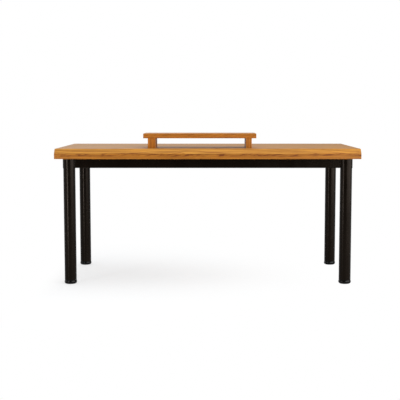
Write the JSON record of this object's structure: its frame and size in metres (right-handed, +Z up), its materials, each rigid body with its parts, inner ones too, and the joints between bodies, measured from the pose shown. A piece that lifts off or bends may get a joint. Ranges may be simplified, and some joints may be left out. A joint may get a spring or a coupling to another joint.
{
  "type": "writing desk",
  "caption": "Long writing desk: thick solid-wood top with a bevelled front edge on a black steel frame with round legs and levelling feet, and a loose wooden riser shelf.",
  "frame": {"origin": "on the floor, below the middle of the desktop, with the levelling feet screwed home", "axes": "+X along the desk to the sitter's right, +Y from the sitter towards the back edge, +Z up; the bevelled front edge faces -Y"},
  "size_m": [1.6, 0.75, 0.797],
  "materials": {
    "oiled_wood": "oiled, satin",
    "black_powder_coat": "satin powder coat",
    "black_nylon": "moulded",
    "zinc_plated_steel": "bright zinc plate",
    "black_oxide_steel": "black oxide",
    "plain_steel": "bare, turned",
    "brass": "turned",
    "beech": "bare"
  },
  "bodies": {
    "desk": {"desktop": "oiled_wood", "front_rail": "black_powder_coat", "back_rail": "black_powder_coat", "left_rail": "black_powder_coat", "right_rail": "black_powder_coat", "centre_rail": "black_powder_coat", "front_left_socket": "black_powder_coat", "front_right_socket": "black_powder_coat", "back_left_socket": "black_powder_coat", "back_right_socket": "black_powder_coat", "front_left_leg": "black_powder_coat", "front_right_leg": "black_powder_coat", "back_left_leg": "black_powder_coat", "back_right_leg": "black_powder_coat", "front_left_leg_plug": "plain_steel", "front_right_leg_plug": "plain_steel", "back_left_leg_plug": "plain_steel", "back_right_leg_plug": "plain_steel", "front_left_foot_bush": "black_nylon", "front_right_foot_bush": "black_nylon", "back_left_foot_bush": "black_nylon", "back_right_foot_bush": "black_nylon", "leg_bolts": "black_oxide_steel", "leg_washers": "zinc_plated_steel", "top_tabs": "black_powder_coat", "top_screws": "zinc_plated_steel", "top_inserts": "brass"},
    "front_left_foot": {"front_left_foot_pad": "black_nylon", "front_left_foot_stud": "zinc_plated_steel"},
    "front_right_foot": {"front_right_foot_pad": "black_nylon", "front_right_foot_stud": "zinc_plated_steel"},
    "back_left_foot": {"back_left_foot_pad": "black_nylon", "back_left_foot_stud": "zinc_plated_steel"},
    "back_right_foot": {"back_right_foot_pad": "black_nylon", "back_right_foot_stud": "zinc_plated_steel"},
    "riser": {"riser_board": "oiled_wood", "riser_left_leg": "oiled_wood", "riser_right_leg": "oiled_wood", "riser_dowels": "beech"}
  },
  "joints": [
    {"name": "front_left_foot_screw", "type": "slide", "parent": "desk", "child": "front_left_foot", "axis": [0, 0, -1], "range_m": [0, 0.015]},
    {"name": "front_right_foot_screw", "type": "slide", "parent": "desk", "child": "front_right_foot", "axis": [0, 0, -1], "range_m": [0, 0.015]},
    {"name": "back_left_foot_screw", "type": "slide", "parent": "desk", "child": "back_left_foot", "axis": [0, 0, -1], "range_m": [0, 0.015]},
    {"name": "back_right_foot_screw", "type": "slide", "parent": "desk", "child": "back_right_foot", "axis": [0, 0, -1], "range_m": [0, 0.015]},
    {"name": "riser_lift", "type": "slide", "parent": "desk", "child": "riser", "axis": [0, 0, 1], "range_m": [0, 0.12]}
  ]
}
